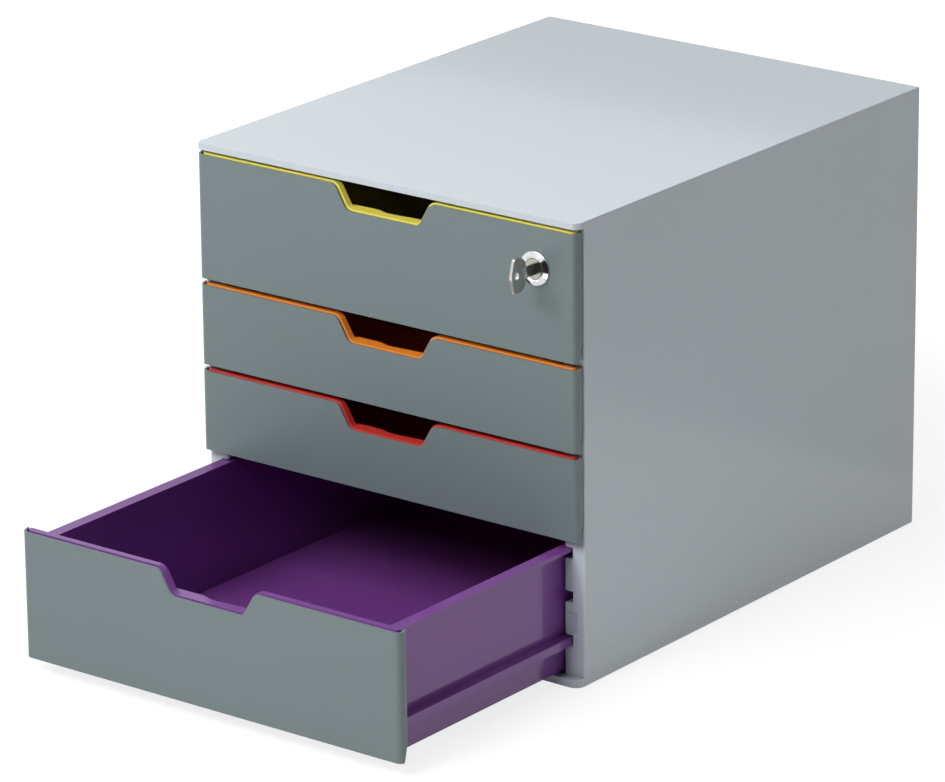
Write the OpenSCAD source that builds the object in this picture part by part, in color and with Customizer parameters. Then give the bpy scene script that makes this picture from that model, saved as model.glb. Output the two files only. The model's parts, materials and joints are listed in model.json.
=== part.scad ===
// Desk drawer tower: a moulded casing with four pull-out drawers, the top one lockable.
// X runs to the right, Y to the back, Z up. The origin is the middle of the casing's underside.
// Drawers are numbered from the top. The lowest one stands pulled out.

/* [Casing] */
// Outer width of the casing
body_w = 286; // [260:1:320]
// Outer depth of the casing
body_d = 356; // [330:1:400]
// Height of one drawer unit
unit_h = 27.5; // [26:0.5:32]
// Height of each drawer in units, from the top drawer down
drawer_units = [3, 2, 2, 3];
// Thickness of the side panels
side_t = 2.6; // [2.4:0.1:4]
// Thickness of the top panel, which is also the height of its front edge
top_t = 4; // [3:0.1:5]
// Thickness of the base panel
base_t = 3; // [2.6:0.1:4]
// Height of the raised front edge of the base panel
base_lip = 5; // [4.6:0.1:8]
// Thickness of the back panel
back_t = 2.5; // [2:0.1:4]
// How far the side panels and racks stand back from the front plane
side_setback = 7; // [6.6:0.1:9]
// Radius of the top panel's front corners, in plan
top_corner_r = 4.5; // [2:0.5:6]
// Radius of the base panel's front corners, in plan
base_corner_r = 6.5; // [3:0.5:6.5]

/* [Runner racks] */
// Width of a rack, from the side panel to its inner edge
rack_w = 12.4; // [11:0.1:14]
// Depth of a runner slot, sideways
slot_depth = 6.2; // [5.6:0.1:7]
// Height of a runner slot
slot_h = 6.9; // [6:0.1:8]
// Wall of the hollow rack moulding
rack_shell = 1.8; // [1.4:0.1:2.2]
// Thickness of the rack's front face
rack_face_t = 2.4; // [2:0.1:3]
// Radius of the blocks between the slots
rack_edge_r = 2.2; // [1:0.1:2.6]
// Radius of the rack's inner front edge, in plan
rack_lead_r = 1.2; // [0.8:0.1:3]

/* [Drawers] */
// Gap between a drawer front and the next one above it
front_gap = 4.2; // [3:0.1:5]
// Gap between the drawer fronts and the casing above and below them
edge_gap = 3; // [2.6:0.1:4.5]
// Wall and floor thickness of a tray
tray_wall = 1.8; // [1.5:0.1:2.2]
// Clearance between a tray's side wall and the rack
tray_play = 1; // [0.6:0.1:1.4]
// Clearance between a runner's outer edge and the end of its slot
slot_play = 0.8; // [0.5:0.1:1.2]
// Thickness of the flange along the top of a tray's side walls
flange_t = 2.1; // [1.6:0.1:2.6]
// Depth of the flange below the top of the drawer front
flange_drop = 2.6; // [2.2:0.1:3.4]
// Clearance between the flange and the roof of its slot
flange_play = 0.3; // [0.3:0.1:0.6]
// Clearance between the lower rail and the floor of its slot
rail_lift = 0.4; // [0.3:0.1:0.6]
// Clearance between the lower rail and the roof of its slot
rail_headroom = 1; // [0.9:0.1:1.4]
// How far a tray reaches below its drawer front
tray_drop = 1.1; // [0.2:0.1:1.4]
// Depth of the coloured rim along the top of the tray front
rim_depth = 4.1; // [3.6:0.1:4.6]
// How far the rim stands above the top edge of the drawer front, and into its finger notch
rim_rise = 1; // [0.4:0.1:1.2]
// Gap between the ends of the rim and the wrapped sides of the drawer front
wing_gap = 1.4; // [0.6:0.1:2]
// Extra depth of the rim under the fingers, at the left of the notch
ledge_deep = 4.5; // [4:0.1:6]
// How much shallower the rim is at the middle of the notch than at its left
ledge_dip = 2.6; // [1:0.1:3.5]
// How much of that depth it regains towards the right
ledge_regain = 1.5; // [0.5:0.1:2.5]
// Height above the drawer front's lower edge at which the tray front widens to the full rim
wing_lift = 10; // [8:0.5:14]
// Gap between the rear of a closed tray and the back panel
tray_rear_gap = 6; // [3:0.5:15]
// How far the drawers slide
travel = 260; // [200:5:270]
// How far the lowest drawer stands open
open_pull = 167.4; // [120:0.2:190]

/* [Drawer fronts] */
// Thickness of the drawer front shell
front_t = 1.5; // [1.2:0.1:2]
// How far the drawer front wraps back around its sides
front_wrap = 5.6; // [4.8:0.1:6]
// How far the top edge of the wrapped sides rises towards the back
flank_rise = 1; // [0.2:0.1:1.6]
// Height of the slanted cut at the lower rear corner of the wrapped sides
flank_cut_h = 11; // [5:0.5:14]
// Depth of that cut at its lower end
flank_cut_d = 2.6; // [1:0.1:3]
// Radius of the vertical corners of a drawer front
front_corner_r = 4; // [2.5:0.1:4.2]
// How far the drawer front stays inside the casing's side
front_inset = 0.5; // [0.2:0.1:1]
// Gap between the drawer front shell and the tray
front_play = 0.4; // [0.2:0.05:0.6]
// Width of the finger notch at its top
notch_w_top = 72; // [60:1:90]
// Width of the finger notch at its bottom
notch_w_low = 54; // [40:0.5:56]
// Depth of the finger notch
notch_h = 15.3; // [12:0.1:20]
// Radius of the notch's upper corners
notch_top_r = 6; // [2.5:0.5:8]
// Radius of the notch's lower corners
notch_low_r = 6.5; // [3:0.5:7]
// Radius of the pegs that hold the drawer front to the tray
peg_r = 2.5; // [2:0.1:3]
// Distance of the pegs from the middle
peg_x = 84; // [70:1:92]

/* [Stops] */
// Width of a stop clip
clip_w = 6.2; // [5:0.1:6.6]
// Height of a stop clip
clip_h = 12.5; // [9:0.5:14]
// Length of a stop clip
clip_d = 8; // [6:0.5:12]
// Clearance around a stop clip in its pocket
clip_play = 0.2; // [0.1:0.05:0.25]
// How far the stop clip's nose reaches into the runner slot
nose_reach = 0.7; // [0.6:0.05:0.7]
// Height of the stop tooth on the rail
tooth_h = 0.75; // [0.65:0.05:0.8]

/* [Feet] */
// Radius of a foot pad
foot_r = 8; // [5:0.5:12]
// Thickness of a foot pad
foot_t = 1.6; // [1.2:0.1:2]
// How far the foot pads stand out of the casing's underside
foot_proud = 0.8; // [0.5:0.1:1]
// Distance of the foot pads from the casing's edges
foot_inset = 26; // [20:1:40]

/* [Lock] */
// Distance of the lock from the right side of the casing
lock_edge = 29.5; // [28.5:0.5:40]
// Distance of the lock below the top of its drawer front
lock_drop = 24.5; // [23:0.5:30]
// Radius of the lock housing
housing_r = 8; // [7.6:0.1:9]
// Length of the lock housing behind the front plane
housing_l = 20; // [18:0.5:24]
// Radius of the round bore that the plug turns in
plug_bore_r = 6.2; // [5.8:0.05:6.4]
// Radial running clearance of the plug
plug_play = 0.05; // [0.03:0.01:0.08]
// Radius of the rosette
rosette_r = 10.4; // [10:0.1:11]
// How far the rosette stands out of the front
rosette_h = 3.2; // [3:0.1:3.8]
// Radius of the raised collar around the lock, at its foot
collar_r = 12.9; // [12.4:0.1:14]
// Height of the raised collar
collar_h = 0.8; // [0.4:0.1:1]
// Clearance between the turning cam's corners and the top panel
cam_gap = 0.5; // [0.3:0.1:1]
// Width of the cam
cam_w = 11; // [9:0.5:12]
// Thickness of the cam
cam_t = 2; // [1.5:0.1:2.5]
// How far the strike hangs below the top panel
strike_h = 4.4; // [3.8:0.1:4.6]
// Length of the strike
strike_w = 24; // [18:1:30]

/* [Key] */
// Thickness of the key blade
blade_t = 1.8; // [1.6:0.1:2.2]
// Height of the key blade
blade_h = 6.6; // [6:0.1:7.4]
// Length of the key blade
blade_l = 19; // [16:0.5:20]
// Clearance of the blade in the keyway
key_play = 0.2; // [0.15:0.05:0.3]
// Height of the key's bow
bow_h = 21; // [18:0.5:26]
// Length of the key's bow
bow_l = 14; // [12:0.5:18]
// Thickness of the key's bow
bow_t = 1.8; // [1.6:0.1:2.6]

/* [Hidden] */
$fn = 64;

// Colours
light_grey = [0.76, 0.78, 0.80];
front_grey = [0.47, 0.51, 0.51];
tray_colours = ["gold", "darkorange", "crimson", "rebeccapurple"];
steel = [0.75, 0.75, 0.74];
rubber = [0.15, 0.15, 0.15];

bite = 1;                                  // how far cutting shapes pass the surfaces they cut
drawers = len(drawer_units);
pulls = [for (i = [0:drawers - 1]) i == drawers - 1 ? open_pull : 0];

// Heights of the stack
function units_from(i) = i >= drawers ? 0 : drawer_units[i] + units_from(i + 1);
total_units = units_from(0);
body_h = base_lip + total_units * unit_h + edge_gap + top_t;
top_z = body_h - top_t;                    // underside of the top panel
front_y = -body_d / 2;
back_y = body_d / 2;
side_x = body_w / 2;
function front_low(i) = base_lip + units_from(i + 1) * unit_h + (i == drawers - 1 ? edge_gap : front_gap);
function front_top(i) = base_lip + units_from(i) * unit_h;

// Racks and slots
rack_front = front_y + side_setback;
rack_rear = back_y - back_t;
rack_out_x = side_x - side_t;
rack_in_x = rack_out_x - rack_w;
slot_x = rack_in_x + slot_depth;
web_x = slot_x + rack_shell;
function slot_floor(k) = base_lip + (k + 1) * unit_h - flange_drop + flange_play - slot_h;
function block_low(k) = k == 0 ? base_t : slot_floor(k - 1) + slot_h;
function block_top(k) = k == total_units ? top_z : slot_floor(k);
// The lower rail runs in the second slot below the flange's own, or the first on a low drawer
function rail_slot(i) = units_from(i + 1);

// Trays
tray_x = rack_in_x - tray_play;
runner_x = slot_x - slot_play;
rail_h = slot_h - rail_lift - rail_headroom;
rail_t = 1.6;                              // wall of the hollow rail
rim_back = front_t + front_play + rim_depth;   // rear edge of the rim, from the front plane
wall_back = front_wrap - 0.2;              // rear face of the tray's front wall, hidden by the front
front_x = side_x - front_inset;
wing_x = front_x - front_t - wing_gap;
tray_rear = back_y - back_t - tray_rear_gap;

// Ledge under the fingers: the rim's rear edge steps forward at ledge_step and comes back after it
ledge_x = notch_w_low / 2 + 6;
ledge_step = -7;
ledge_points = 24;
function ease(t) = t <= 0 ? 0 : t >= 1 ? 1 : 0.5 - 0.5 * cos(180 * t);
function ledge_back(x) = rim_back + ledge_deep - ledge_dip * ease((x - ledge_step) / 9 + 0.5)
    + ledge_regain * ease((x - ledge_step - 4) / 26);

// Stops: the nose stands behind the rack's face, and the tooth meets it at full travel
nose_front = rack_front + rack_face_t + 0.4;
nose_d = 3.6;
nose_w = 2.4;
stop_gap = 0.5;
tooth_y = nose_front + nose_d + travel + stop_gap;
tooth_d = 6;
clip_lift = rack_shell;                    // wall below the clip
clip_x = rack_in_x + 2.4;

// Lock
lock_x = side_x - lock_edge;
lock_z = front_top(0) - lock_drop;
plug_r = plug_bore_r - plug_play;
plug_front = -rosette_h + 0.5;             // the plug's face, from the front plane
cam_front = housing_l + 0.5;               // front face of the cam, from the front plane
tang_w = 7;                                // square end of the plug that drives the cam
tang_l = 3;
cam_reach = lock_drop + edge_gap - cam_gap;    // from the axis to the cam's corners
cam_l = sqrt(cam_reach * cam_reach - cam_w * cam_w / 4);
nut_w = 20;                                // across the flats
nut_h = 3;
head_r = 9;                                // housing's head under the rosette
head_t = 1;
wafer_pitch = 3;
wafers = 4;
wafer_t = 0.9;
wafer_w = 7;
wafer_h = 8.4;
wafer_first = 3;
keyway_t = blade_t + 2 * key_play;
keyway_h = blade_h + 2 * key_play;
screw_r = 1.2;
strike_t = 1.6;
strike_front = cam_front - 3.6;            // front face of the strike's leg, from the front plane
strike_foot = 9.5;                         // depth of the strike's screwed foot
screw_head_r = 2.2;
screw_head_h = 1;
screw_l = 3.6;
neck_l = 7.4;                              // from the lock's face to the key's bow
neck_grooves = 3;                          // milled across each side of the key's neck

function unit2(v) = v / norm(v);
function turn(a) = a > 180 ? a - 360 : a < -180 ? a + 360 : a;
// Points of an arc of radius r that rounds the corner at c between p and n
function corner_arc(p, c, n, r, steps = 8) =
    let (u = unit2(p - c), v = unit2(n - c))
    let (half = acos(u * v) / 2)
    let (mid = c + unit2(u + v) * r / sin(half))
    let (first = c + u * r / tan(half) - mid, last = c + v * r / tan(half) - mid)
    let (a = atan2(first[1], first[0]), sweep = turn(atan2(last[1], last[0]) - a))
    [for (k = [0:steps]) mid + r * [cos(a + sweep * k / steps), sin(a + sweep * k / steps)]];

// Top edge of a drawer front with its finger notch, from left to right, d below the edge
function notch_edge(x, z, d) =
    let (lean = atan2((notch_w_top - notch_w_low) / 2, notch_h))
    let (out = d * (1 / cos(lean) - tan(lean)))
    let (ta = notch_w_top / 2 + out, lo = notch_w_low / 2 + out, top = z - d, low = z - notch_h - d)
    let (a = [-ta, top], b = [-lo, low], c = [lo, low], e = [ta, top])
    concat([[-x, top]], corner_arc([-x, top], a, b, notch_top_r - d),
        corner_arc(a, b, c, notch_low_r + d), corner_arc(b, c, e, notch_low_r + d),
        corner_arc(c, e, [x, top], notch_top_r - d), [[x, top]]);

// Outline in X and Z of a drawer front from its lower edge to its notched top edge
module notched_outline(x, low, top, d) {
    polygon(concat([[-x, low]], notch_edge(x, top, d), [[x, low]]));
}

// Extrudes an outline drawn in X and Z from y0 to y1
module along_y(y0, y1) {
    translate([0, y1, 0])
        rotate([90, 0, 0])
            linear_extrude(height = y1 - y0)
                children();
}

// Extrudes an outline drawn in Y and Z from x0 to x1
module along_x(x0, x1) {
    translate([x0, 0, 0])
        rotate([90, 0, 90])
            linear_extrude(height = x1 - x0)
                children();
}

// A block given by its lowest and highest corner
module block(low, high) {
    translate(low)
        cube(high - low);
}

// The same block on the right and, mirrored, on the left
module both_sides() {
    children();
    mirror([1, 0, 0])
        children();
}

// Plan shape with its two front corners rounded
module rounded_front(x, y0, y1, r) {
    union() {
        translate([-x + r, y0])
            square([2 * (x - r), y1 - y0]);
        translate([-x, y0 + r])
            square([2 * x, y1 - y0 - r]);
        for (s = [-1, 1])
            translate([s * (x - r), y0 + r])
                circle(r);
    }
}

// A cylinder along Y from y0 to y1
module rod_y(r, y0, y1) {
    translate([0, y1, 0])
        rotate([90, 0, 0])
            cylinder(r = r, h = y1 - y0);
}

module at_lock() {
    translate([lock_x, front_y, lock_z])
        children();
}

// ---- casing ----

module top_panel() {
    color(light_grey)
        difference() {
            translate([0, 0, top_z])
                linear_extrude(height = top_t)
                    rounded_front(side_x, front_y, back_y, top_corner_r);
            screw_places()
                translate([0, 0, top_z - bite])
                    cylinder(r = screw_r + 0.05, h = screw_l - strike_t + bite + 0.2);
        }
}

module side_panel() {
    block([rack_out_x, rack_front, base_t], [side_x, back_y, top_z]);
}

module side_panel_left() {
    color(light_grey)
        mirror([1, 0, 0])
            side_panel();
}

module side_panel_right() {
    color(light_grey)
        side_panel();
}

module foot_places() {
    for (x = [-1, 1], y = [-1, 1])
        translate([x * (side_x - foot_inset), y * (body_d / 2 - foot_inset), 0])
            children();
}

module base_panel() {
    color(light_grey)
        difference() {
            union() {
                linear_extrude(height = base_t)
                    rounded_front(side_x, front_y, back_y, base_corner_r);
                linear_extrude(height = base_lip)
                    intersection() {
                        rounded_front(side_x, front_y, back_y, base_corner_r);
                        translate([-side_x, front_y])
                            square([body_w, side_setback]);
                    }
            }
            foot_places()
                translate([0, 0, -bite])
                    cylinder(r = foot_r + 0.1, h = foot_t - foot_proud + bite);
        }
}

module back_panel() {
    color(light_grey)
        block([-rack_out_x, rack_rear, base_t], [rack_out_x, back_y, top_z]);
}

module foot_pads() {
    color(rubber)
        foot_places()
            translate([0, 0, -foot_proud])
                cylinder(r = foot_r, h = foot_t);
}

// Section of one block between two slots, with its inner corners rounded
module block_section(z0, z1) {
    r = min(rack_edge_r, (z1 - z0) / 2 - 0.2);
    union() {
        translate([rack_in_x + r, z0])
            square([web_x - rack_in_x - r, z1 - z0]);
        translate([rack_in_x, z0 + r])
            square([web_x - rack_in_x, z1 - z0 - 2 * r]);
        for (z = [z0 + r, z1 - r])
            translate([rack_in_x + r, z])
                circle(r);
    }
}

// Pocket and nose window of each stop clip, or the clip itself where play is 0
module clip_shape(i, play) {
    roof = slot_floor(rail_slot(i)) + slot_h;
    z0 = roof + clip_lift;
    block([clip_x - play, rack_front - (play > 0 ? bite : 0), z0 - play],
        [clip_x + clip_w + play, rack_front + clip_d + play, z0 + clip_h + play]);
    block([clip_x + 0.4 - play, nose_front - play, roof - (play > 0 ? bite : nose_reach)],
        [clip_x + 0.4 + nose_w + play, nose_front + nose_d + play, z0 + bite]);
}

module runner_rack() {
    difference() {
        union() {
            intersection() {
                for (k = [0:total_units])
                    along_y(rack_front, rack_rear)
                        block_section(block_low(k), block_top(k));
                linear_extrude(height = top_z)
                    rounded_lead();
            }
            block([slot_x, rack_front, base_t], [web_x, rack_rear, top_z]);
            block([slot_x, rack_front, base_t], [rack_out_x, rack_front + rack_face_t, top_z]);
        }
        for (k = [0:total_units])
            if (block_top(k) - block_low(k) > 2 * rack_shell + 1)
                block([rack_in_x + rack_shell, rack_front + rack_face_t, block_low(k) + rack_shell],
                    [web_x + bite, rack_rear - rack_shell, block_top(k) - rack_shell]);
        for (i = [0:drawers - 1])
            clip_shape(i, clip_play);
    }
}

// Plan shape of the rack's blocks, with the inner front edge rounded as a lead-in
module rounded_lead() {
    union() {
        translate([rack_in_x + rack_lead_r, rack_front])
            square([web_x - rack_in_x - rack_lead_r, rack_rear - rack_front]);
        translate([rack_in_x, rack_front + rack_lead_r])
            square([web_x - rack_in_x, rack_rear - rack_front - rack_lead_r]);
        translate([rack_in_x + rack_lead_r, rack_front + rack_lead_r])
            circle(rack_lead_r);
    }
}

module runner_rack_left() {
    color(light_grey)
        mirror([1, 0, 0])
            runner_rack();
}

module runner_rack_right() {
    color(light_grey)
        runner_rack();
}

module stop_clips() {
    for (i = [0:drawers - 1])
        clip_shape(i, 0);
}

module stop_clips_left() {
    color(light_grey)
        mirror([1, 0, 0])
            stop_clips();
}

module stop_clips_right() {
    color(light_grey)
        stop_clips();
}

// ---- drawers ----

module peg_places(i) {
    low = front_low(i);
    span = front_top(i) - low;
    for (x = [-peg_x, peg_x], z = [0.28, 0.72])
        translate([x, front_y, low + z * span])
            children();
}

// Coloured front of a tray: a wall whose hollow rim follows the notch and runs down both ends
module tray_front(i) {
    low = front_low(i);
    top = front_top(i);
    face = front_y + front_t + front_play;
    back = front_y + wall_back;
    intersection() {
        union() {
            along_y(back - tray_wall, back) {
                notched_outline(wing_x, low + wing_lift, top, -rim_rise);
                translate([-tray_x, low - tray_drop])
                    square([2 * tray_x, wing_lift + tray_drop + bite]);
            }
            along_y(face, front_y + rim_back)
                difference() {
                    notched_outline(wing_x, low + wing_lift, top, -rim_rise);
                    notched_outline(wing_x - tray_wall, low + wing_lift - bite, top, tray_wall - rim_rise);
                }
        }
        linear_extrude(height = body_h)
            rounded_front(wing_x, face, front_y + rim_back, front_corner_r - front_t);
    }
    translate([0, front_y, top + rim_rise - notch_h - tray_wall])
        linear_extrude(height = tray_wall)
            finger_ledge();
}

// Plan shape of the ledge behind the notch's lower edge
module finger_ledge() {
    near = wall_back - tray_wall / 2;
    polygon(concat([[-ledge_x, near]],
        [for (k = [0:ledge_points]) let (x = ledge_x * (2 * k / ledge_points - 1)) [x, ledge_back(x)]],
        [[ledge_x, near]]));
}

// Flange and hollow rail on the right side of a tray
module tray_runners(i) {
    flange_z = front_top(i) - flange_drop;
    rail_z = slot_floor(rail_slot(i)) + rail_lift;
    start = front_y + wall_back - bite;
    block([tray_x - tray_wall, start, flange_z - flange_t], [runner_x, tray_rear, flange_z]);
    block([tray_x - bite, start, rail_z + rail_h - rail_t], [runner_x, tray_rear, rail_z + rail_h]);
    block([runner_x - rail_t, start, rail_z], [runner_x, tray_rear, rail_z + rail_h]);
    block([clip_x, tooth_y, rail_z + rail_h - bite],
        [runner_x, tooth_y + tooth_d, rail_z + rail_h + tooth_h]);
}

module tray(i) {
    low = front_low(i) - tray_drop;
    flange_z = front_top(i) - flange_drop;
    wall_front = front_y + wall_back - tray_wall;
    color(tray_colours[i])
        translate([0, -pulls[i], 0])
            difference() {
                union() {
                    difference() {
                        block([-tray_x, wall_front, low], [tray_x, tray_rear, flange_z]);
                        block([-tray_x + tray_wall, wall_front - bite, low + tray_wall],
                            [tray_x - tray_wall, tray_rear - tray_wall, flange_z + bite]);
                    }
                    tray_front(i);
                    both_sides()
                        tray_runners(i);
                }
                peg_places(i)
                    rod_y(peg_r + 0.1, front_t, wall_back + bite);
                if (i == 0)
                    at_lock()
                        rod_y(housing_r + 0.1, front_t, wall_back + bite);
            }
}

// Grey shell of a drawer front: rounded corners, wrapped sides, pegs riveted through the tray
module drawer_front(i) {
    low = front_low(i);
    top = front_top(i);
    color(front_grey)
        translate([0, -pulls[i], 0])
            difference() {
                union() {
                    intersection() {
                        union() {
                            along_y(front_y - bite, front_y + front_wrap)
                                notched_outline(front_x, low, top, 0);
                            both_sides()
                                flank_top(top);
                        }
                        linear_extrude(height = body_h)
                            difference() {
                                rounded_front(front_x, front_y, front_y + front_wrap, front_corner_r);
                                rounded_front(front_x - front_t, front_y + front_t,
                                    front_y + front_wrap + bite, front_corner_r - front_t);
                            }
                    }
                    if (i == 0)
                        lock_collar();
                    peg_places(i) {
                        rod_y(peg_r, front_t - bite / 2, wall_back + 0.1);
                        rod_y(peg_r + 1.4, wall_back + 0.02, wall_back + 1);
                    }
                }
                flank_cuts(low);
                if (i == 0)
                    at_lock()
                        rod_y(housing_r + 0.1, -collar_h - bite, front_wrap);
            }
}

// Wedge that lifts the top edge of a wrapped side towards the back
module flank_top(top) {
    near = front_y + front_t;
    back = front_y + front_wrap;
    along_x(front_x - front_t, front_x)
        polygon([[near, top - bite], [back, top - bite], [back, top + flank_rise], [near, top]]);
}

// Takes off the lower rear corners of the wrapped sides
module flank_cuts(low) {
    back = front_y + front_wrap;
    along_x(-side_x, side_x)
        polygon([[back - flank_cut_d, low - bite], [back - flank_cut_d, low], [back, low + flank_cut_h],
            [back + bite, low + flank_cut_h], [back + bite, low - bite]]);
}

// ---- lock ----

// Raised collar of the drawer front, with a flat face for the lock
module lock_collar() {
    at_lock()
        rotate([90, 0, 0])
            rotate_extrude()
                polygon([[0, -front_t / 2], [collar_r, -front_t / 2], [collar_r, 0],
                    [collar_r - 2 * collar_h, collar_h], [0, collar_h]]);
}

module lock_housing() {
    color(steel)
        at_lock()
            difference() {
                union() {
                    rod_y(housing_r, -collar_h - head_t / 2, housing_l);
                    rod_y(head_r, -collar_h - head_t, -collar_h);
                }
                rod_y(plug_bore_r, -collar_h - head_t - bite, housing_l + bite);
            }
}

// Conical ring over the housing's head, on a narrower foot
module lock_rosette() {
    under = collar_h + head_t + 0.1;
    foot_top = collar_h + 0.4;
    crest_r = plug_bore_r + 1.2;
    color(steel)
        at_lock()
            rotate([90, 0, 0])
                rotate_extrude()
                    polygon(concat([[head_r + 0.1, collar_h], [rosette_r - 0.5, collar_h],
                        [rosette_r - 0.5, foot_top], [rosette_r, foot_top]],
                        corner_arc([rosette_r, foot_top], [rosette_r, rosette_h - 1.5],
                            [crest_r, rosette_h], 0.4, 3),
                        [[crest_r, rosette_h], [crest_r - 0.4, rosette_h - 0.6],
                        [plug_bore_r + 0.3, rosette_h - 0.6], [plug_bore_r + 0.3, under],
                        [head_r + 0.1, under]]));
}

module lock_nut() {
    color(steel)
        at_lock()
            difference() {
                translate([0, wall_back + nut_h + 0.1, 0])
                    rotate([90, 30, 0])
                        cylinder(r = nut_w / sqrt(3), h = nut_h, $fn = 6);
                rod_y(housing_r + 0.05, 0, wall_back + nut_h + 1);
            }
}

module lock_plug() {
    color(steel)
        at_lock()
            difference() {
                union() {
                    rod_y(plug_r, plug_front, housing_l + 0.3);
                    block([-tang_w / 2, housing_l, -tang_w / 2],
                        [tang_w / 2, housing_l + tang_l, tang_w / 2]);
                }
                block([-keyway_t / 2, plug_front - bite, -keyway_h / 2],
                    [keyway_t / 2, blade_l - rosette_h, keyway_h / 2]);
                for (k = [0:wafers - 1])
                    block([-wafer_w / 2 - 0.2, wafer_first + k * wafer_pitch - 0.1, -wafer_h / 2 - 0.3],
                        [wafer_w / 2 + 0.2, wafer_first + k * wafer_pitch + wafer_t + 0.1,
                            wafer_h / 2 + 0.3]);
                rod_y(screw_r + 0.05, housing_l - 1.2, housing_l + tang_l + bite);
            }
}

module lock_wafers() {
    color("goldenrod")
        at_lock()
            for (k = [0:wafers - 1])
                difference() {
                    y = wafer_first + k * wafer_pitch;
                    block([-wafer_w / 2, y, -wafer_h / 2], [wafer_w / 2, y + wafer_t, wafer_h / 2]);
                    block([-keyway_t / 2, y - bite, -keyway_h / 2],
                        [keyway_t / 2, y + wafer_t + bite, keyway_h / 2]);
                }
}

// The cam points to the middle of the drawer when open, and up behind the strike when turned
module lock_cam() {
    color(steel)
        at_lock()
            difference() {
                union() {
                    rod_y(8, cam_front, cam_front + cam_t);
                    block([-cam_l, cam_front, -cam_w / 2], [0, cam_front + cam_t, cam_w / 2]);
                }
                block([-tang_w / 2 - 0.05, cam_front - bite, -tang_w / 2 - 0.05],
                    [tang_w / 2 + 0.05, cam_front + cam_t + bite, tang_w / 2 + 0.05]);
            }
}

module cam_screw() {
    end = housing_l + tang_l;
    color(steel)
        at_lock()
            difference() {
                union() {
                    rod_y(screw_r, housing_l - 1, end + 1);
                    rod_y(tang_w / 2 + 1.2, end, end + 1.8);
                }
                for (a = [0, 90])
                    rotate([0, a, 0])
                        block([-2.6, end + 1, -0.4], [2.6, end + 1.8 + bite, 0.4]);
            }
}

module screw_places() {
    for (x = [-strike_w / 2 + 4.5, strike_w / 2 - 4.5])
        translate([lock_x + x, front_y + strike_front - strike_foot / 2, 0])
            children();
}

// Steel angle under the top panel that the turned cam catches behind
module lock_strike() {
    y = front_y + strike_front;
    x0 = lock_x - strike_w / 2;
    x1 = lock_x + strike_w / 2;
    color(steel)
        difference() {
            union() {
                block([x0, y, top_z - strike_h], [x1, y + strike_t, top_z]);
                block([x0, y - strike_foot, top_z - strike_t], [x1, y + strike_t, top_z]);
            }
            screw_places()
                translate([0, 0, top_z - strike_t - bite])
                    cylinder(r = screw_r + 0.1, h = strike_t + 2 * bite);
        }
}

module strike_screws() {
    color(steel)
        screw_places()
            difference() {
                union() {
                    translate([0, 0, top_z - strike_t - screw_head_h])
                        cylinder(r = screw_head_r, h = screw_head_h);
                    translate([0, 0, top_z - strike_t - screw_head_h / 2])
                        cylinder(r = screw_r, h = screw_l + screw_head_h / 2 - 0.1);
                }
                block([-1.4, -0.3, top_z - strike_t - screw_head_h - bite],
                    [1.4, 0.3, top_z - strike_t - screw_head_h / 2]);
            }
}

// Flat key: bitted blade, grooved neck and a rounded bow with a ring hole
module key() {
    shoulder = -rosette_h - 1;
    bow_in = -rosette_h - neck_l;
    bow_out = bow_in - bow_l;
    groove_pitch = (shoulder - bow_in) / (neck_grooves + 1);
    neck_h = blade_h + 0.6;
    color(steel)
        at_lock()
            difference() {
                union() {
                    along_x(-blade_t / 2, blade_t / 2) {
                        translate([shoulder, -blade_h / 2])
                            square([blade_l - 0.4, blade_h]);
                        translate([bow_in - bite, -neck_h / 2])
                            square([shoulder - bow_in + bite, neck_h]);
                    }
                    along_x(-bow_t / 2, bow_t / 2)
                        bow_outline(bow_in, bow_out);
                }
                for (k = [0:wafers - 1])
                    translate([0, wafer_first + (k + 0.5) * wafer_pitch - 1.2, blade_h / 2 + 0.6])
                        rotate([0, 90, 0])
                            cylinder(r = 1.5 + 0.2 * (k % 3), h = 2 * bow_t, center = true);
                for (k = [1:neck_grooves])
                    both_sides()
                        block([blade_t / 2 - 0.3, bow_in + k * groove_pitch - 0.3, -neck_h / 2 - bite],
                            [blade_t / 2 + bite, bow_in + k * groove_pitch + 0.3, neck_h / 2 + bite]);
                translate([0, bow_out + 4.8, 0])
                    rotate([0, 90, 0])
                        cylinder(r = 2.3, h = 2 * bow_t, center = true);
            }
}

// Bow of the key: round towards the lock, and bent outwards at the middle of its outer end
module bow_outline(y_in, y_out) {
    tall = bow_h / 2;
    bend = 2.8;
    corners = [[y_in, -tall], [y_in, tall], [y_out + bend, tall], [y_out, 0], [y_out + bend, -tall]];
    radii = [7.2, 7.2, 1.5, 8, 1.5];
    n = len(corners);
    polygon([for (k = [0:n - 1]) each
        corner_arc(corners[(k + n - 1) % n], corners[k], corners[(k + 1) % n], radii[k])]);
}

top_panel();
side_panel_left();
side_panel_right();
base_panel();
back_panel();
runner_rack_left();
runner_rack_right();
stop_clips_left();
stop_clips_right();
foot_pads();
tray(0);  // drawer_1_tray
tray(1);  // drawer_2_tray
tray(2);  // drawer_3_tray
tray(3);  // drawer_4_tray
drawer_front(0);  // drawer_1_front
drawer_front(1);  // drawer_2_front
drawer_front(2);  // drawer_3_front
drawer_front(3);  // drawer_4_front
lock_housing();
lock_rosette();
lock_nut();
lock_strike();
strike_screws();
lock_plug();
lock_wafers();
lock_cam();
cam_screw();
key();
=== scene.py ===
import json
import math

import bmesh
import bpy
from mathutils import Matrix, Vector


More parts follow.
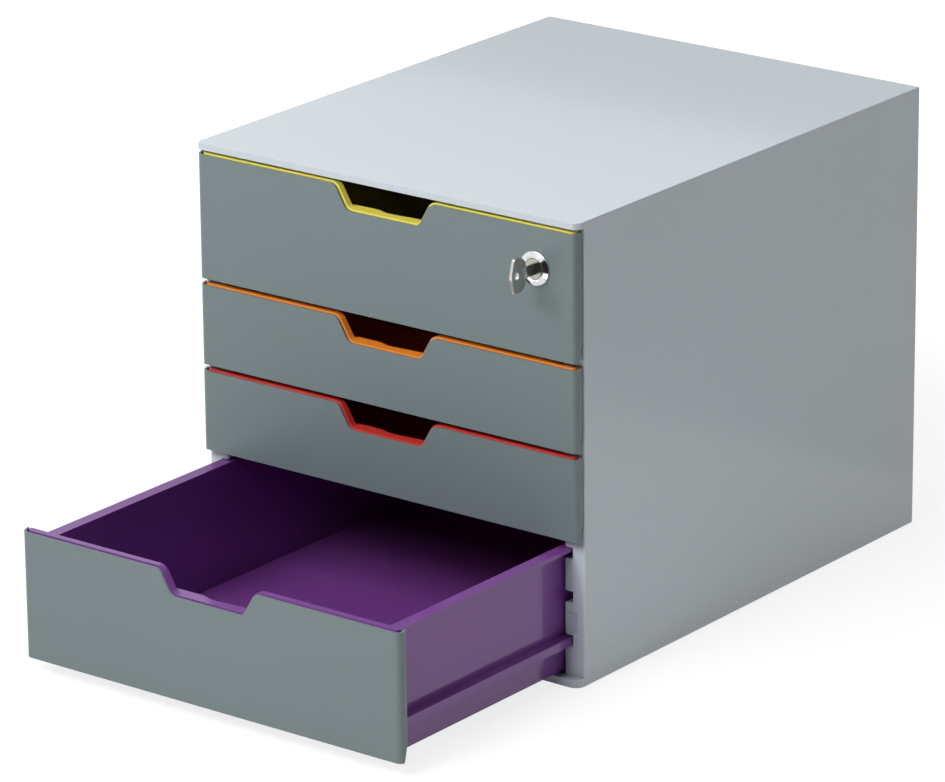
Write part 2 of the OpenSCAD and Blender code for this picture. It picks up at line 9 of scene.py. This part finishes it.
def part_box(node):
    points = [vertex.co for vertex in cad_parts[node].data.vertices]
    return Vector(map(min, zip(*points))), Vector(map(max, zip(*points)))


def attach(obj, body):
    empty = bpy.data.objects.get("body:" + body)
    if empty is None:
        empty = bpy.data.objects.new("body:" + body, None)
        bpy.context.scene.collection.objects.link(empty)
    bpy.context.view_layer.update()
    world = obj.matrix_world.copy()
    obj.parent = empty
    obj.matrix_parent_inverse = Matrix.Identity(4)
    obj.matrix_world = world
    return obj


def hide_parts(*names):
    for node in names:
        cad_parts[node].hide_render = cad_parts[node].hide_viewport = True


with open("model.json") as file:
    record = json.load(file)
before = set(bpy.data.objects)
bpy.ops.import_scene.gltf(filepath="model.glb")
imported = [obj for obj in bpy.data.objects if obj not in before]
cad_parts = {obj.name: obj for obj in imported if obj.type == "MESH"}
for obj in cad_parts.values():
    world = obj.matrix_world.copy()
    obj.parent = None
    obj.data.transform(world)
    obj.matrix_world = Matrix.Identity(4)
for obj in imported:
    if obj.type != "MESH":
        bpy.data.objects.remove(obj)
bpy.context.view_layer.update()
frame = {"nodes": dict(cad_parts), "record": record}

scene = bpy.context.scene
scene.view_settings.view_transform = "Standard"

mm = 0.001

# places taken from the frame's own solids
topLow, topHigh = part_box("top_panel")
sideLow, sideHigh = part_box("side_panel_right")
backLow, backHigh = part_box("back_panel")
lockLow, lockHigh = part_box("lock_rosette")
topUnder = topLow.z
baseTop = sideLow.z
sideFront = sideLow.y
sideInner = sideLow.x
lockSpot = Vector(((lockLow.x + lockHigh.x) / 2, lockLow.y, (lockLow.z + lockHigh.z) / 2))
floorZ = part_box("foot_pads")[0].z


# camera, with its angles in degrees and its lens and sensor in millimetres
cameraSpec = {
    "name": "studioCamera",
    "azimuth": 37.718,
    "elevation": 18.857,
    "roll": -0.527,
    "distance": 3.540535,
    "target": (-0.011075, -0.078, 0.127617),
    "lens": 220.902,
    "sensor": 36.0,
    "nearClip": 0.1,
    "farClip": 60,
}


def placeCamera(spec):
    azimuth, elevation = math.radians(spec["azimuth"]), math.radians(spec["elevation"])
    roll = math.radians(spec["roll"])
    back = Vector((
        math.sin(azimuth) * math.cos(elevation),
        -math.cos(azimuth) * math.cos(elevation),
        math.sin(elevation),
    ))
    right = Vector((math.cos(azimuth), math.sin(azimuth), 0))
    up = back.cross(right)
    rolledRight = right * math.cos(roll) + up * math.sin(roll)
    rolledUp = up * math.cos(roll) - right * math.sin(roll)
    data = bpy.data.cameras.new(spec["name"])
    data.sensor_width = spec["sensor"]
    data.lens = spec["lens"]
    data.clip_start = spec["nearClip"]
    data.clip_end = spec["farClip"]
    cam = bpy.data.objects.new(spec["name"], data)
    scene.collection.objects.link(cam)
    spot = Vector(spec["target"]) + back * spec["distance"]
    turn = Matrix((rolledRight, rolledUp, back)).transposed()
    cam.matrix_world = Matrix.Translation(spot) @ turn.to_4x4()
    scene.camera = cam


placeCamera(cameraSpec)
print("camera placed")


# adds and wires the nodes of one material, world or geometry tree
class NodeBench:
    def __init__(self, tree):
        self.tree = tree
        tree.nodes.clear()

    def add(self, kind, inputs=None, **settings):
        made = self.tree.nodes.new(kind)
        for key, value in settings.items():
            setattr(made, key, value)
        for key, value in (inputs or {}).items():
            made.inputs[key].default_value = value
        return made

    def wire(self, source, target):
        self.tree.links.new(source, target)

    # a math node whose inputs are sockets or plain numbers
    def calc(self, operation, *values):
        made = self.add("ShaderNodeMath", operation=operation)
        for place, value in enumerate(values):
            if isinstance(value, (int, float)):
                made.inputs[place].default_value = value
            else:
                self.wire(value, made.inputs[place])
        return made.outputs[0]

    # shows the first shader, or the second where the factor is 1
    def choose(self, factor, shaderA, shaderB):
        made = self.add("ShaderNodeMixShader")
        self.wire(factor, made.inputs[0])
        self.wire(shaderA.outputs[0], made.inputs[1])
        self.wire(shaderB.outputs[0], made.inputs[2])
        return made

    def output(self, shader, kind="ShaderNodeOutputMaterial"):
        self.wire(shader.outputs[0], self.add(kind).inputs["Surface"])


def newMaterial(name):
    made = bpy.data.materials.new(name)
    made.use_nodes = True
    return made, NodeBench(made.node_tree)


def shade(colour, factor):
    return tuple(min(1.0, max(0.0, c * factor)) for c in colour[:3]) + (1.0,)


def greyOf(level):
    return (level, level, level, 1)


def noiseAt(bench, coords, scale, detail, stretch=None):
    noise = bench.add("ShaderNodeTexNoise", {"Scale": scale, "Detail": detail, "Roughness": 0.5})
    source = coords
    if stretch:
        mapping = bench.add("ShaderNodeMapping", {"Scale": stretch})
        bench.wire(coords, mapping.inputs["Vector"])
        source = mapping.outputs["Vector"]
    bench.wire(source, noise.inputs["Vector"])
    return noise.outputs["Fac"]


# takes the middle of a noise's range, 0.2 to 0.8, to low to high
def spread(bench, source, low, high):
    ranged = bench.add("ShaderNodeMapRange", {"From Min": 0.2, "From Max": 0.8, "To Min": low, "To Max": high},
                       interpolation_type="SMOOTHSTEP")
    bench.wire(source, ranged.inputs["Value"])
    return ranged.outputs["Result"]


# a Mix node set to colours takes them in sockets 6 and 7 and gives one from its output 2
def mixed(bench, factor, colourA, colourB):
    blend = bench.add("ShaderNodeMix", data_type="RGBA")
    blend.inputs[6].default_value = colourA
    blend.inputs[7].default_value = colourB
    bench.wire(factor, blend.inputs[0])
    return blend.outputs[2]


# noise layers from coarse to fine, each (scale, height in metres, strength)
def stackedBump(bench, coords, layers):
    normal = None
    for scale, height, strength in layers:
        bump = bench.add("ShaderNodeBump", {"Strength": strength, "Distance": height})
        bench.wire(noiseAt(bench, coords, scale, 3.0), bump.inputs["Height"])
        if normal:
            bench.wire(normal, bump.inputs["Normal"])
        normal = bump.outputs["Normal"]
    return normal


# shared by all plastics: tone clouds, wear in the gloss and two layers of moulded grain
plasticSpec = {"ior": 1.49, "cloudScale": 5.0, "darkest": 0.985, "lightest": 1.01, "wearScale": 30.0,
               "coarseScale": 900.0, "coarseHeight": 0.03 * mm, "fineScale": 3200.0, "fineHeight": 0.012 * mm,
               "fineShare": 0.7, "glowRadius": (1.0, 0.8, 0.6), "glowScale": 0.6 * mm}


def plasticMaterial(name, colour, roughness, spreadOf, grain, sheen=0.5, depth=0.0):
    spec = plasticSpec
    made, bench = newMaterial(name)
    coords = bench.add("ShaderNodeTexCoord").outputs["Object"]
    body = bench.add("ShaderNodeBsdfPrincipled", {"IOR": spec["ior"], "Specular IOR Level": sheen})
    cloud = noiseAt(bench, coords, spec["cloudScale"], 1.0)
    bench.wire(mixed(bench, spread(bench, cloud, 0, 1), shade(colour, spec["darkest"]),
                     shade(colour, spec["lightest"])), body.inputs["Base Color"])
    wear = noiseAt(bench, coords, spec["wearScale"], 2.0)
    bench.wire(spread(bench, wear, roughness - spreadOf / 2, roughness + spreadOf / 2),
               body.inputs["Roughness"])
    if depth:
        body.inputs["Subsurface Weight"].default_value = depth
        body.inputs["Subsurface Radius"].default_value = spec["glowRadius"]
        body.inputs["Subsurface Scale"].default_value = spec["glowScale"]
    layers = [(spec["coarseScale"], spec["coarseHeight"], grain),
              (spec["fineScale"], spec["fineHeight"], grain * spec["fineShare"])]
    bench.wire(stackedBump(bench, coords, layers), body.inputs["Normal"])
    bench.output(body)
    return made


# shared by all metals: a haze in the colour and brushed lines in gloss and relief
metalSpec = {"hazeScale": 90.0, "darkest": 0.93, "lightest": 1.03, "lineScale": 500.0, "detail": 4.0,
             "lineHeight": 0.02 * mm, "smoother": 0.02, "rougher": 0.04}


def metalMaterial(name, colour, roughness, grain, stretch=None):
    spec = metalSpec
    made, bench = newMaterial(name)
    coords = bench.add("ShaderNodeTexCoord").outputs["Object"]
    body = bench.add("ShaderNodeBsdfPrincipled", {"Metallic": 1.0})
    haze = noiseAt(bench, coords, spec["hazeScale"], spec["detail"])
    bench.wire(mixed(bench, spread(bench, haze, 0, 1), shade(colour, spec["darkest"]),
                     shade(colour, spec["lightest"])), body.inputs["Base Color"])
    lines = noiseAt(bench, coords, spec["lineScale"], spec["detail"], stretch)
    bench.wire(spread(bench, lines, roughness - spec["smoother"], roughness + spec["rougher"]),
               body.inputs["Roughness"])
    bump = bench.add("ShaderNodeBump", {"Strength": grain, "Distance": spec["lineHeight"]})
    bench.wire(lines, bump.inputs["Height"])
    bench.wire(bump.outputs["Normal"], body.inputs["Normal"])
    bench.output(body)
    return made


casingColour = (0.53, 0.585, 0.63)
trayFinish = {"roughness": 0.22, "spreadOf": 0.05, "grain": 0.06, "depth": 0.15}
plastics = {
    "grey_plastic": {"name": "lightGreyPlastic", "colour": casingColour, "roughness": 0.17, "spreadOf": 0.04,
                     "grain": 0.06},
    "clip_plastic": {"name": "clipPlastic", "colour": shade(casingColour, 0.93), "roughness": 0.34,
                     "spreadOf": 0.06, "grain": 0.14},
    "dark_grey_plastic": {"name": "frontGreyPlastic", "colour": (0.150, 0.193, 0.198), "roughness": 0.40,
                          "spreadOf": 0.04, "grain": 0.10},
    "yellow_plastic": {"name": "yellowPlastic", "colour": (0.93, 0.80, 0.12), **trayFinish},
    "orange_plastic": {"name": "orangePlastic", "colour": (0.90, 0.27, 0.03), **trayFinish},
    "red_plastic": {"name": "redPlastic", "colour": (0.62, 0.045, 0.035), **trayFinish},
    "purple_plastic": {"name": "purplePlastic", "colour": (0.18, 0.050, 0.27), "roughness": 0.13,
                       "spreadOf": 0.04, "grain": 0.04, "depth": 0.1},
    "foot_rubber": {"name": "footRubber", "colour": (0.025, 0.025, 0.027), "roughness": 0.8, "spreadOf": 0.1,
                    "grain": 0.35, "sheen": 0.35},
}
metals = {
    "lock_chrome": {"name": "polishedChrome", "colour": (0.80, 0.81, 0.83), "roughness": 0.07, "grain": 0.03},
    "lock_steel": {"name": "nickelPlate", "colour": (0.40, 0.385, 0.35), "roughness": 0.20, "grain": 0.08,
                   "stretch": (1, 12, 1)},
    "zinc_steel": {"name": "zincPlate", "colour": (0.62, 0.64, 0.67), "roughness": 0.32, "grain": 0.15,
                   "stretch": (1, 14, 1)},
    "wafer_brass": {"name": "waferBrass", "colour": (0.75, 0.55, 0.24), "roughness": 0.3, "grain": 0.12},
    "key_steel": {"name": "keySteel", "colour": (0.62, 0.60, 0.56), "roughness": 0.24, "grain": 0.12,
                  "stretch": (1, 1, 10)},
}
materials = {slot: plasticMaterial(**spec) for slot, spec in plastics.items()}
materials.update({slot: metalMaterial(**spec) for slot, spec in metals.items()})
print("materials made")


# pieces made from the frame's own solids, with rounded edges; angles in degrees
meshSpec = {"weld": 0.002 * mm, "flat": 0.3, "bevelFrom": 35, "sharpFrom": 38, "cornerWeight": 100}


def cleanCopy(node):
    shape = bmesh.new()
    shape.from_mesh(frame["nodes"][node].data)
    bmesh.ops.remove_doubles(shape, verts=shape.verts, dist=meshSpec["weld"])
    bmesh.ops.dissolve_limit(shape, angle_limit=math.radians(meshSpec["flat"]), verts=shape.verts,
                             edges=shape.edges)
    bmesh.ops.recalc_face_normals(shape, faces=shape.faces)
    return shape


# skip says, from the middle of an edge, whether it stays crisp
def roundEdges(shape, width, segments, skip):
    edges = []
    for edge in shape.edges:
        if len(edge.link_faces) != 2:
            continue
        if math.degrees(edge.calc_face_angle(0.0)) < meshSpec["bevelFrom"]:
            continue
        if skip and skip((edge.verts[0].co + edge.verts[1].co) / 2):
            continue
        edges.append(edge)
    if edges:
        bmesh.ops.bevel(shape, geom=edges, offset=width, offset_type="OFFSET", segments=segments,
                        profile=0.5, affect="EDGES", clamp_overlap=True, harden_normals=False)


def smoothTo(mesh, sharpFrom):
    mesh.polygons.foreach_set("use_smooth", [True] * len(mesh.polygons))
    mesh.set_sharp_from_angle(angle=math.radians(sharpFrom))


def finishMesh(shape, name, material):
    mesh = bpy.data.meshes.new(name)
    openEdges = sum(1 for e in shape.edges if len(e.link_faces) != 2)
    faces = len(shape.faces)
    shape.to_mesh(mesh)
    shape.free()
    smoothTo(mesh, meshSpec["sharpFrom"])
    mesh.materials.append(material)
    made = bpy.data.objects.new(name, mesh)
    scene.collection.objects.link(made)
    weighted = made.modifiers.new("weightedNormals", "WEIGHTED_NORMAL")
    weighted.keep_sharp = True
    weighted.weight = meshSpec["cornerWeight"]
    graph = bpy.context.evaluated_depsgraph_get()
    plain = bpy.data.meshes.new_from_object(made.evaluated_get(graph), depsgraph=graph)
    made.modifiers.clear()
    made.data = plain
    print("  ", name, faces, "faces", openEdges, "open edges")
    return made


slotOf = {part["node"]: part["material_slot"] for part in frame["record"]["subparts"]}
bodyOf = {node: body for body, nodes in frame["record"]["behaviour"]["bodies"].items() for node in nodes}


# puts a finished piece in its node's place
def install(made, node):
    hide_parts(node)
    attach(made, bodyOf[node])


# nose is an optional wider rounding, made first on the edges it doesn't skip
def dress(node, name, edge, steps=2, skip=None, nose=None):
    shape = cleanCopy(node)
    if nose:
        roundEdges(shape, nose["width"], nose["steps"], nose["skip"])
    roundEdges(shape, edge * mm, steps, skip)
    install(finishMesh(shape, name, materials[slotOf[node]]), node)


def near(value, level, gap=0.05 * mm):
    return abs(value - level) < gap


# joints between the casing's panels are bonded flush, so their edges stay crisp
frontLip = 6 * mm   # how far behind the side panels' front the top's lower edges are still rounded


def topSeam(p):
    return near(p.z, topUnder) and p.y > sideFront - frontLip


def sideSeam(p):
    return near(p.z, topUnder) or near(p.z, baseTop) or near(p.y, backHigh.y) or near(abs(p.x), sideInner)


def baseSeam(p):
    return near(p.z, baseTop) or (near(p.y, sideFront) and p.z > 1 * mm)


def backSeam(p):
    return near(abs(p.x), sideInner) and not near(p.y, backHigh.y)


# everything but the upright outer edge at the front of a side panel
def notSideNose(p):
    return not (near(abs(p.x), sideHigh.x) and near(p.y, sideFront))


sideNose = {"width": 1.3 * mm, "steps": 4, "skip": notSideNose}

# edge is the rounding's width in millimetres, steps its segments
casingPieces = [
    {"node": "top_panel", "name": "topPanel", "edge": 0.7, "steps": 3, "skip": topSeam},
    {"node": "side_panel_left", "name": "sidePanelLeft", "edge": 0.4, "skip": sideSeam, "nose": sideNose},
    {"node": "side_panel_right", "name": "sidePanelRight", "edge": 0.4, "skip": sideSeam, "nose": sideNose},
    {"node": "base_panel", "name": "basePanel", "edge": 0.6, "steps": 3, "skip": baseSeam},
    {"node": "back_panel", "name": "backPanel", "edge": 0.4, "skip": backSeam},
    {"node": "runner_rack_left", "name": "runnerRackLeft", "edge": 0.25},
    {"node": "runner_rack_right", "name": "runnerRackRight", "edge": 0.25},
    {"node": "stop_clips_left", "name": "stopClipsLeft", "edge": 0.15},
    {"node": "stop_clips_right", "name": "stopClipsRight", "edge": 0.15},
    {"node": "lock_strike", "name": "lockStrike", "edge": 0.2},
    {"node": "strike_screws", "name": "strikeScrews", "edge": 0.12},
]
for spec in casingPieces:
    dress(**spec)
print("casing dressed")


# four rubber pads under the base, each with grip rings moulded into its lower face
padSpec = {"rings": 4, "ringDepth": 0.25 * mm, "around": 64, "across": 24, "sharpFrom": 50}


# middle of each pad, with the radius and height they share, from the frame's own solids
def padPlaces():
    corners = [v.co for v in frame["nodes"]["foot_pads"].data.vertices]
    low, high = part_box("foot_pads")
    spots = []
    for sideways, lengthways in [(-1, -1), (1, -1), (1, 1), (-1, 1)]:
        own = [c for c in corners if c.x * sideways > 0 and c.y * lengthways > 0]
        spots.append(((min(c.x for c in own) + max(c.x for c in own)) / 2,
                      (min(c.y for c in own) + max(c.y for c in own)) / 2, (low.z + high.z) / 2))
    return spots, high.x - spots[1][0], high.z - low.z


# one round pad, ringed underneath and set on every given point
def padTree(material, sockets):
    tree = bpy.data.node_groups.new("gripPads", "GeometryNodeTree")
    tree.interface.new_socket("Spots", in_out="INPUT", socket_type="NodeSocketGeometry")
    keys = {}
    for label, kind in sockets:
        made = tree.interface.new_socket(label, in_out="INPUT", socket_type=kind)
        keys[label] = made.identifier
    tree.interface.new_socket("Pads", in_out="OUTPUT", socket_type="NodeSocketGeometry")
    bench = NodeBench(tree)
    given = bench.add("NodeGroupInput").outputs
    pad = bench.add("GeometryNodeMeshCylinder", {"Side Segments": 1}, fill_type="TRIANGLE_FAN")
    for label, target in [("Steps Around", "Vertices"), ("Steps Across", "Fill Segments"),
                          ("Pad Radius", "Radius"), ("Pad Height", "Depth")]:
        bench.wire(given[label], pad.inputs[target])

    # the lower face rises and falls with the distance from the pad's middle
    flat = bench.add("ShaderNodeVectorMath", operation="MULTIPLY")
    bench.wire(bench.add("GeometryNodeInputPosition").outputs[0], flat.inputs[0])
    flat.inputs[1].default_value = (1, 1, 0)
    reach = bench.add("ShaderNodeVectorMath", operation="LENGTH")
    bench.wire(flat.outputs["Vector"], reach.inputs[0])
    share = bench.calc("DIVIDE", reach.outputs["Value"], given["Pad Radius"])
    turns = bench.calc("MULTIPLY", share, given["Rings"])
    wave = bench.calc("COSINE", bench.calc("MULTIPLY", turns, 2 * math.pi))
    rise = bench.calc("MULTIPLY", bench.calc("MULTIPLY_ADD", wave, 0.5, 0.5), given["Ring Depth"])
    offset = bench.add("ShaderNodeCombineXYZ")
    bench.wire(rise, offset.inputs["Z"])
    ringed = bench.add("GeometryNodeSetPosition")
    bench.wire(pad.outputs["Mesh"], ringed.inputs["Geometry"])
    bench.wire(pad.outputs["Bottom"], ringed.inputs["Selection"])
    bench.wire(offset.outputs["Vector"], ringed.inputs["Offset"])

    placed = bench.add("GeometryNodeInstanceOnPoints")
    bench.wire(given["Spots"], placed.inputs["Points"])
    bench.wire(ringed.outputs["Geometry"], placed.inputs["Instance"])
    real = bench.add("GeometryNodeRealizeInstances")
    bench.wire(placed.outputs["Instances"], real.inputs["Geometry"])
    painted = bench.add("GeometryNodeSetMaterial", {"Material": material})
    bench.wire(real.outputs["Geometry"], painted.inputs["Geometry"])
    bench.wire(painted.outputs["Geometry"], bench.add("NodeGroupOutput").inputs[0])
    return tree, keys


def makePads(spec):
    spots, radius, height = padPlaces()
    values = {"Pad Radius": radius, "Pad Height": height, "Ring Depth": spec["ringDepth"],
              "Rings": float(spec["rings"]), "Steps Around": spec["around"], "Steps Across": spec["across"]}
    sockets = [(label, "NodeSocketInt" if isinstance(value, int) else "NodeSocketFloat")
               for label, value in values.items()]
    cloud = bpy.data.meshes.new("padSpots")
    cloud.from_pydata(spots, [], [])
    holder = bpy.data.objects.new("padSpots", cloud)
    scene.collection.objects.link(holder)
    tree, keys = padTree(materials[slotOf["foot_pads"]], sockets)
    maker = holder.modifiers.new("gripPads", "NODES")
    maker.node_group = tree
    for label, value in values.items():
        maker[keys[label]] = value
    graph = bpy.context.evaluated_depsgraph_get()
    mesh = bpy.data.meshes.new_from_object(holder.evaluated_get(graph), depsgraph=graph)
    bpy.data.objects.remove(holder)
    smoothTo(mesh, spec["sharpFrom"])
    made = bpy.data.objects.new("footPads", mesh)
    scene.collection.objects.link(made)
    install(made, "foot_pads")
    print("  ", made.name, len(mesh.polygons), "faces")


makePads(padSpec)
print("foot pads made")

drawerSpec = {"count": 4, "trayEdge": 0.35, "frontEdge": 0.45, "frontSteps": 3}
for number in range(1, drawerSpec["count"] + 1):
    dress(f"drawer_{number}_tray", f"drawerTray{number}", drawerSpec["trayEdge"])
    dress(f"drawer_{number}_front", f"drawerFront{number}", drawerSpec["frontEdge"], drawerSpec["frontSteps"])
print("drawers dressed")

lockPieces = [
    {"node": "lock_housing", "name": "lockHousing", "edge": 0.2},
    {"node": "lock_rosette", "name": "lockRosette", "edge": 0.12},
    {"node": "lock_nut", "name": "lockNut", "edge": 0.2},
    {"node": "lock_plug", "name": "lockPlug", "edge": 0.1},
    {"node": "lock_wafers", "name": "lockWafers", "edge": 0.05},
    {"node": "lock_cam", "name": "lockCam", "edge": 0.2},
    {"node": "cam_screw", "name": "camScrew", "edge": 0.12},
    {"node": "key", "name": "keyBlank", "edge": 0.15},
]
for spec in lockPieces:
    dress(**spec)
print("lock dressed")


# studio
def stageSheet(name, corners, material):
    mesh = bpy.data.meshes.new(name)
    mesh.from_pydata(corners, [], [tuple(range(len(corners)))])
    mesh.materials.append(material)
    made = bpy.data.objects.new(name, mesh)
    scene.collection.objects.link(made)


# 1 for camera, glossy and transmission rays
def seenRay(bench):
    path = bench.add("ShaderNodeLightPath").outputs
    straight = bench.calc("MAXIMUM", path["Is Camera Ray"], path["Is Glossy Ray"])
    return bench.calc("MAXIMUM", straight, path["Is Transmission Ray"])


# bounce lights the tower, shadowed and the two glows are what the floor shows by itself
floorSpec = {"half": 6.0, "bounce": 0.74, "shadowed": 0.23, "nearGlow": 0.80, "farGlow": 0.97,
             "nearOut": 0.25, "farOut": 1.0}


def floorMaterial(spec):
    made, bench = newMaterial("paleFloor")
    plain = bench.add("ShaderNodeBsdfDiffuse", {"Color": greyOf(spec["bounce"])})
    seen = bench.add("ShaderNodeBsdfDiffuse", {"Color": greyOf(spec["shadowed"])})
    reach = bench.add("ShaderNodeVectorMath", operation="LENGTH")
    bench.wire(bench.add("ShaderNodeTexCoord").outputs["Object"], reach.inputs[0])
    ramp = bench.add("ShaderNodeMapRange", {"From Min": spec["nearOut"], "From Max": spec["farOut"],
                                            "To Min": spec["nearGlow"], "To Max": spec["farGlow"]})
    bench.wire(reach.outputs["Value"], ramp.inputs["Value"])
    glow = bench.add("ShaderNodeEmission", {"Color": greyOf(1)})
    bench.wire(ramp.outputs["Result"], glow.inputs["Strength"])
    both = bench.add("ShaderNodeAddShader")
    bench.wire(seen.outputs[0], both.inputs[0])
    bench.wire(glow.outputs[0], both.inputs[1])
    bench.output(bench.choose(seenRay(bench), plain, both))
    return made


half = floorSpec["half"]
stageSheet("studioFloor", [(-half, -half, floorZ), (half, -half, floorZ), (half, half, floorZ),
                           (-half, half, floorZ)], floorMaterial(floorSpec))


# painted reflection: a card that only mirrored light meets, glowing in its grey, so it paints a reflection into
# glossy surfaces and nothing else
def paintedReflectionMaterial(name, grey):
    made, bench = newMaterial(name)
    glossy = bench.add("ShaderNodeLightPath").outputs["Is Glossy Ray"]
    clear = bench.add("ShaderNodeBsdfTransparent")
    # this grey glow is the painted reflection
    tone = bench.add("ShaderNodeEmission", {"Color": greyOf(grey), "Strength": 1.0})
    bench.output(bench.choose(glossy, clear, tone))
    return made


# corners of an upright card, from its middle, width, height and the way it faces in plan
def uprightCard(middle, width, height, facing):
    turn = math.radians(facing)
    across = Vector((math.cos(turn), math.sin(turn), 0)) * width / 2
    up = Vector((0, 0, height / 2))
    spot = Vector(middle)
    return [spot - across - up, spot + across - up, spot + across + up, spot - across + up]


# painted reflections: one card behind the tower, whose grey paints a darker band into the gloss of the top, and
# one in front of it to the right, whose near-black paints the dark side of the lock's chrome ring, which
# mirrors it
paintedReflectionCards = [
    {"name": "rearReflectionCard", "grey": 0.60, "middle": (0, backHigh.y + 0.072, topHigh.z / 2 + 0.04), "width": 2.4,
     "height": topHigh.z + 0.08, "facing": 0},
    {"name": "lockReflectionCard", "grey": 0.02, "middle": (lockSpot.x + 0.22, lockSpot.y - 0.40, 0.25), "width": 0.90,
     "height": 0.50, "facing": 67},
]
for spec in paintedReflectionCards:
    corners = uprightCard(spec["middle"], spec["width"], spec["height"], spec["facing"])
    stageSheet(spec["name"], corners, paintedReflectionMaterial(spec["name"], spec["grey"]))

# painted reflection: a small level card under the lock, whose pale grey the lower half of its ring mirrors
ringReflectionCard = {"grey": 0.90, "drop": 26 * mm, "left": 60 * mm, "right": 9 * mm, "near": 1.5 * mm, "far": 30 * mm}
cardLeft, cardRight = lockSpot.x - ringReflectionCard["left"], lockSpot.x + ringReflectionCard["right"]
cardFar, cardNear = lockSpot.y - ringReflectionCard["far"], lockSpot.y - ringReflectionCard["near"]
cardZ = lockSpot.z - ringReflectionCard["drop"]
stageSheet("ringReflectionCard", [(cardLeft, cardFar, cardZ), (cardRight, cardFar, cardZ), (cardRight, cardNear, cardZ),
                        (cardLeft, cardNear, cardZ)], paintedReflectionMaterial("ringReflectionCard", ringReflectionCard["grey"]))

# light is what the sky gives the tower, seen is what it shows by itself
skySpec = {"lightColour": (0.97, 0.985, 1.0, 1), "light": 0.05, "seenColour": (1, 1, 1, 1), "seen": 1.0}
world = bpy.data.worlds.new("studioWorld")
scene.world = world
world.use_nodes = True
skyBench = NodeBench(world.node_tree)
skyLight = skyBench.add("ShaderNodeBackground", {"Color": skySpec["lightColour"], "Strength": skySpec["light"]})
skySeen = skyBench.add("ShaderNodeBackground", {"Color": skySpec["seenColour"], "Strength": skySpec["seen"]})
skyBench.output(skyBench.choose(seenRay(skyBench), skyLight, skySeen), "ShaderNodeOutputWorld")

lampSpecs = [
    {"name": "keySoftbox", "spot": (-0.42, -1.38, 1.55), "aim": (0, -0.15, 0.15), "size": (1.2, 0.9),
     "power": 25.5, "colour": (1.0, 0.995, 0.985)},
    {"name": "frontSoftbox", "spot": (0.08, -2.42, 1.85), "aim": (0, -0.15, 0.12), "size": (1.2, 0.8),
     "power": 25.0, "colour": (0.99, 0.995, 1.0)},
    {"name": "topSoftbox", "spot": (-0.25, 0.60, 4.0), "aim": (0, 0, 0.15), "size": (2.2, 2.2),
     "power": 51.0, "colour": (0.985, 0.99, 1.0)},
    {"name": "sideSoftbox", "spot": (2.20, 1.20, 1.60), "aim": (0.1, 0, 0.15), "size": (1.2, 1.2),
     "power": 15.2, "colour": (1.0, 0.98, 0.95)},
]
for spec in lampSpecs:
    lampData = bpy.data.lights.new(spec["name"], "AREA")
    lampData.shape = "RECTANGLE"
    lampData.size, lampData.size_y = spec["size"]
    lampData.energy = spec["power"]
    lampData.color = spec["colour"]
    lamp = bpy.data.objects.new(spec["name"], lampData)
    scene.collection.objects.link(lamp)
    direction = Vector(spec["aim"]) - Vector(spec["spot"])
    lamp.location = spec["spot"]
    lamp.rotation_mode = "QUATERNION"
    lamp.rotation_quaternion = direction.to_track_quat("-Z", "Y")
print("studio lit")
